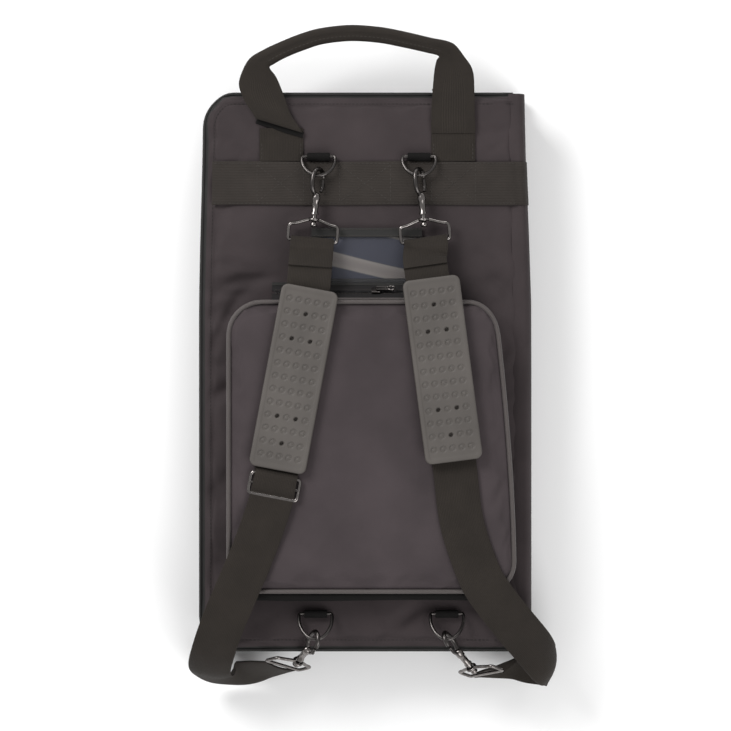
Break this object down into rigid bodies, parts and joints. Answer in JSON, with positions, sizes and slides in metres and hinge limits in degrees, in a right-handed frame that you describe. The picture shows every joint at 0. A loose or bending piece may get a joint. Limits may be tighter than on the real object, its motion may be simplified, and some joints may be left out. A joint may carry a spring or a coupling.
{
  "type": "drum stick bag",
  "caption": "Padded flat drum stick bag that opens like a book, with a zipped outer pocket, card window, webbing carry handle and two clip-on shoulder straps.",
  "frame": {"origin": "centre of the front cover's flat face, on which the bag lies", "axes": "+Z out of the back cover with the pocket and the straps, +Y towards the carry handle, +X towards the spine"},
  "size_m": [0.3174, 0.5719, 0.1021],
  "materials": {
    "nylon": "charcoal coated nylon, fine plain weave, slight sheen",
    "lining": "dark grey lining cloth",
    "trim": "grey binding tape and piping with a soft satin face",
    "webbing": "dark brown-grey polypropylene webbing, 38 mm, ribbed",
    "pad_rubber": "moulded grey rubber with a dimpled face",
    "hardware": "dark nickel plate, polished",
    "zip": "black nylon coil zipper on woven tape",
    "clear_film": "clear vinyl sheet",
    "card": "plain navy card with grey lines"
  },
  "bodies": {
    "front_cover": {"front_cover": "nylon", "front_binding": "trim", "main_zip_front": "zip", "front_stick_sleeves": "lining"},
    "spine": {"spine_panel": "nylon"},
    "back_cover": {"back_cover": "nylon", "back_binding": "trim", "main_zip_back": "zip", "back_stick_sleeves": "lining", "webbing_band": "webbing", "handle_anchor_left": "webbing", "handle_anchor_right": "webbing", "pocket": "nylon", "pocket_piping": "trim", "pocket_zip": "zip", "card_window_frame": "trim", "card_window_film": "clear_film", "card_window_hem": "trim", "upper_tab_left": "webbing", "lower_tab_left": "webbing", "lower_loop_left": "hardware", "lower_webbing_left": "webbing", "upper_tab_right": "webbing", "lower_tab_right": "webbing", "lower_loop_right": "hardware", "lower_webbing_right": "webbing"},
    "main_zip_slider": {"main_zip_slider": "hardware"},
    "main_zip_pull": {"main_zip_pull": "hardware"},
    "pocket_zip_slider": {"pocket_zip_slider": "hardware"},
    "pocket_zip_pull": {"pocket_zip_pull": "hardware"},
    "id_card": {"id_card": "card"},
    "handle": {"handle": "webbing"},
    "strap_left": {"upper_loop_left": "hardware", "upper_webbing_left": "webbing"},
    "upper_ring_left": {"upper_ring_left": "hardware"},
    "upper_hook_left": {"upper_hook_left": "hardware"},
    "upper_gate_left": {"upper_gate_left": "hardware"},
    "lower_hook_left": {"lower_hook_left": "hardware"},
    "lower_gate_left": {"lower_gate_left": "hardware"},
    "shoulder_pad_left": {"shoulder_pad_left": "pad_rubber"},
    "adjuster_left": {"adjuster_left": "hardware"},
    "lower_ring_left": {"lower_ring_left": "hardware"},
    "strap_right": {"upper_loop_right": "hardware", "upper_webbing_right": "webbing"},
    "upper_ring_right": {"upper_ring_right": "hardware"},
    "upper_hook_right": {"upper_hook_right": "hardware"},
    "upper_gate_right": {"upper_gate_right": "hardware"},
    "lower_hook_right": {"lower_hook_right": "hardware"},
    "lower_gate_right": {"lower_gate_right": "hardware"},
    "shoulder_pad_right": {"shoulder_pad_right": "pad_rubber"},
    "adjuster_right": {"adjuster_right": "hardware"},
    "lower_ring_right": {"lower_ring_right": "hardware"}
  },
  "joints": [
    {"name": "spine_fold", "type": "hinge", "parent": "front_cover", "child": "spine", "pos_m": [0.1405, 0, 0.003], "axis": [0, 1, 0], "range_deg": [0, 65]},
    {"name": "back_cover_fold", "type": "hinge", "parent": "spine", "child": "back_cover", "pos_m": [0.1405, 0, 0.061], "axis": [0, 1, 0], "range_deg": [0, 65]},
    {"name": "main_zip_slide", "type": "slide", "parent": "front_cover", "child": "main_zip_slider", "axis": [1, 0, 0], "range_m": [-0.18, 0.045]},
    {"name": "main_zip_pull_swing", "type": "hinge", "parent": "main_zip_slider", "child": "main_zip_pull", "pos_m": [0.076, 0.2457, 0.032], "axis": [0, 0, -1], "range_deg": [0, 150]},
    {"name": "pocket_zip_slide", "type": "slide", "parent": "back_cover", "child": "pocket_zip_slider", "axis": [1, 0, 0], "range_m": [-0.088, 0.076]},
    {"name": "pocket_zip_pull_swing", "type": "hinge", "parent": "pocket_zip_slider", "child": "pocket_zip_pull", "pos_m": [0.01, 0.07195, 0.07787], "axis": [0, -0.6232, 0.7821], "range_deg": [0, 165]},
    {"name": "id_card_slide", "type": "slide", "parent": "back_cover", "child": "id_card", "axis": [0, 1, 0], "range_m": [0, 0.02]},
    {"name": "handle_swing", "type": "hinge", "parent": "back_cover", "child": "handle", "pos_m": [0.002, 0.205, 0.0673], "axis": [1, 0, 0], "range_deg": [0, 120]},
    {"name": "strap_left_lift", "type": "hinge", "parent": "back_cover", "child": "strap_left", "pos_m": [-0.04, 0.1855, 0.068], "axis": [-1, 0, 0], "range_deg": [0, 25]},
    {"name": "upper_ring_left_swing", "type": "hinge", "parent": "back_cover", "child": "upper_ring_left", "pos_m": [-0.04, 0.1855, 0.068], "axis": [-1, 0, 0], "range_deg": [0, 25]},
    {"name": "upper_hook_left_swivel", "type": "hinge", "parent": "strap_left", "child": "upper_hook_left", "pos_m": [-0.04368, 0.13211, 0.07503], "axis": [0.0995, 0.995, 0], "range_deg": [-10, 10]},
    {"name": "upper_gate_left_swing", "type": "hinge", "parent": "upper_hook_left", "child": "upper_gate_left", "pos_m": [-0.03788, 0.15505, 0.07005], "axis": [0.8151, -0.0815, 0.5736], "range_deg": [0, 20], "stiffness_Nm_per_rad": 0.02, "springref_deg": -17.19},
    {"name": "lower_hook_left_swivel", "type": "hinge", "parent": "back_cover", "child": "lower_hook_left", "pos_m": [-0.05736, -0.24953, 0.05523], "axis": [0.4016, 0.5623, 0.7229], "range_deg": [-10, 10]},
    {"name": "lower_gate_left_swing", "type": "hinge", "parent": "lower_hook_left", "child": "lower_gate_left", "pos_m": [-0.04699, -0.24136, 0.07549], "axis": [-0.9019, 0.1057, 0.4188], "range_deg": [0, 20], "stiffness_Nm_per_rad": 0.02, "springref_deg": -17.19},
    {"name": "shoulder_pad_left_slide", "type": "slide", "parent": "strap_left", "child": "shoulder_pad_left", "axis": [0.1839, 0.9829, 0], "range_m": [0, 0.012]},
    {"name": "adjuster_left_tilt", "type": "hinge", "parent": "strap_left", "child": "adjuster_left", "pos_m": [-0.0792, -0.10634, 0.094], "axis": [0.982, -0.1889, 0], "range_deg": [0, 30]},
    {"name": "lower_ring_left_swing", "type": "hinge", "parent": "back_cover", "child": "lower_ring_left", "pos_m": [-0.0425, -0.208, 0.068], "axis": [1, 0, 0], "range_deg": [0, 10]},
    {"name": "strap_right_lift", "type": "hinge", "parent": "back_cover", "child": "strap_right", "pos_m": [0.0465, 0.1855, 0.068], "axis": [-1, 0, 0], "range_deg": [0, 25]},
    {"name": "upper_ring_right_swing", "type": "hinge", "parent": "back_cover", "child": "upper_ring_right", "pos_m": [0.0465, 0.1855, 0.068], "axis": [-1, 0, 0], "range_deg": [0, 25]},
    {"name": "upper_hook_right_swivel", "type": "hinge", "parent": "strap_right", "child": "upper_hook_right", "pos_m": [0.05018, 0.13211, 0.07503], "axis": [-0.0995, 0.995, 0], "range_deg": [-10, 10]},
    {"name": "upper_gate_right_swing", "type": "hinge", "parent": "upper_hook_right", "child": "upper_gate_right", "pos_m": [0.05088, 0.1557, 0.06977], "axis": [0.8617, 0.0862, 0.5], "range_deg": [0, 20], "stiffness_Nm_per_rad": 0.02, "springref_deg": -17.19},
    {"name": "lower_hook_right_swivel", "type": "hinge", "parent": "back_cover", "child": "lower_hook_right", "pos_m": [0.09085, -0.25388, 0.06404], "axis": [-0.55, 0.68, 0.485], "range_deg": [-10, 10]},
    {"name": "lower_gate_right_swing", "type": "hinge", "parent": "lower_hook_right", "child": "lower_gate_right", "pos_m": [0.07798, -0.2415, 0.08033], "axis": [-0.8352, -0.4477, -0.3193], "range_deg": [0, 20], "stiffness_Nm_per_rad": 0.02, "springref_deg": -17.19},
    {"name": "shoulder_pad_right_slide", "type": "slide", "parent": "strap_right", "child": "shoulder_pad_right", "axis": [-0.1286, 0.9913, -0.027], "range_m": [0, 0.006]},
    {"name": "adjuster_right_tilt", "type": "hinge", "parent": "strap_right", "child": "adjuster_right", "pos_m": [0.07647, -0.07792, 0.0928], "axis": [0.9916, 0.1296, 0], "range_deg": [0, 4]},
    {"name": "lower_ring_right_swing", "type": "hinge", "parent": "back_cover", "child": "lower_ring_right", "pos_m": [0.0705, -0.208, 0.068], "axis": [1, 0, 0], "range_deg": [0, 10]}
  ],
  "couplings": [
    {"joint": "back_cover_fold", "follows": "spine_fold", "ratio": 1},
    {"joint": "upper_ring_left_swing", "follows": "strap_left_lift", "ratio": 1},
    {"joint": "upper_ring_right_swing", "follows": "strap_right_lift", "ratio": 1}
  ]
}
